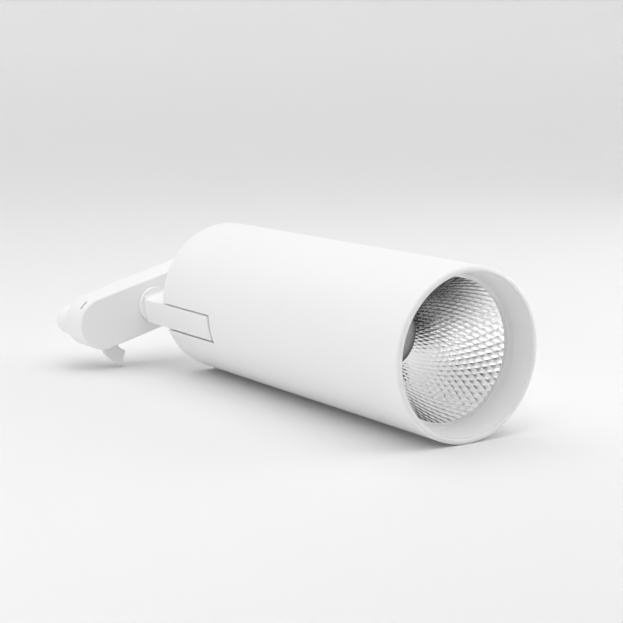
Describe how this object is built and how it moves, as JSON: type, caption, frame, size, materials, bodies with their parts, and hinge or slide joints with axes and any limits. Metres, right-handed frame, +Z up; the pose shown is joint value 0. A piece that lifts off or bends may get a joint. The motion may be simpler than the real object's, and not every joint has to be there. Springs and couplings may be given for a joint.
{
  "type": "track spotlight",
  "caption": "White cylindrical track spotlight with a recessed faceted reflector, a flush folding arm and a rounded track adapter with a turning plug and lever.",
  "frame": {"origin": "bottom centre of the bounding box: the lamp lies on its barrel and on the tip of the adapter's lever", "axes": "+Z up, +X along the barrel's axis towards the light's exit, -Y the side where the arm and the adapter are"},
  "size_m": [0.3146, 0.1392, 0.095],
  "materials": {
    "white_paint": "satin powder coat",
    "white_plastic": "fine moulded",
    "reflector_mirror": "faceted, vacuum metallised",
    "sink_aluminium": "extruded, anodised",
    "sheet_steel": "galvanised",
    "screw_steel": "zinc plated",
    "contact_brass": "spring brass",
    "bush_plastic": "low friction",
    "holder_plastic": "moulded",
    "board_ceramic": "matt",
    "phosphor": "silicone",
    "pad_rubber": "silicone",
    "board_green": "solder resist",
    "core_ferrite": "wound core",
    "can_aluminium": "sleeved",
    "cable_sheath": "soft",
    "wire_sheath": "soft"
  },
  "bodies": {
    "barrel": {"barrel_tube": "white_paint", "front_ring": "white_paint", "reflector": "reflector_mirror", "reflector_retainer": "white_plastic", "thermal_pad": "pad_rubber", "led_board": "board_ceramic", "led_phosphor": "phosphor", "led_holder": "holder_plastic", "led_holder_screws": "screw_steel", "heat_sink": "sink_aluminium", "led_wires": "wire_sheath", "driver_tray": "sheet_steel", "tray_screws": "screw_steel", "driver_case": "white_plastic", "driver_lid": "white_plastic", "driver_board": "board_green", "driver_transformer": "core_ferrite", "driver_capacitors": "can_aluminium", "rear_cap": "white_paint", "rear_cap_screws": "screw_steel", "pivot_channel": "white_plastic", "pivot_pin": "screw_steel", "pivot_nut": "screw_steel", "friction_washers": "bush_plastic", "supply_cable_head": "cable_sheath"},
    "arm": {"arm_bar": "white_paint", "arm_cover": "white_plastic", "arm_cover_screws": "screw_steel", "pivot_bush": "bush_plastic", "swivel_stud": "sheet_steel", "swivel_washer": "sheet_steel", "swivel_nut": "sheet_steel", "supply_cable_arm": "cable_sheath"},
    "adapter": {"adapter_housing": "white_plastic", "swivel_bush": "bush_plastic", "adapter_lid": "white_plastic", "adapter_screws": "screw_steel", "guide_tongue": "white_plastic", "tongue_screws": "screw_steel", "earth_clip": "contact_brass", "line_contacts": "contact_brass", "terminal_block": "holder_plastic", "terminal_screws": "screw_steel", "supply_cable_adapter": "cable_sheath"},
    "plug": {"lock_lever": "white_plastic", "plug_body": "white_plastic", "lever_screw": "screw_steel"}
  },
  "joints": [
    {"name": "head_tilt", "type": "hinge", "parent": "barrel", "child": "arm", "pos_m": [-0.04875, -0.01504, 0.03958], "axis": [0, -0.2084, 0.978], "range_deg": [0, 90]},
    {"name": "adapter_swivel", "type": "hinge", "parent": "arm", "child": "adapter", "pos_m": [-0.11825, -0.01648, 0.04152], "axis": [1, 0, 0], "range_deg": [-175, 175]},
    {"name": "plug_turn", "type": "hinge", "parent": "adapter", "child": "plug", "pos_m": [-0.13175, -0.05262, 0.03155], "axis": [1, 0, 0], "range_deg": [0, 60]}
  ]
}
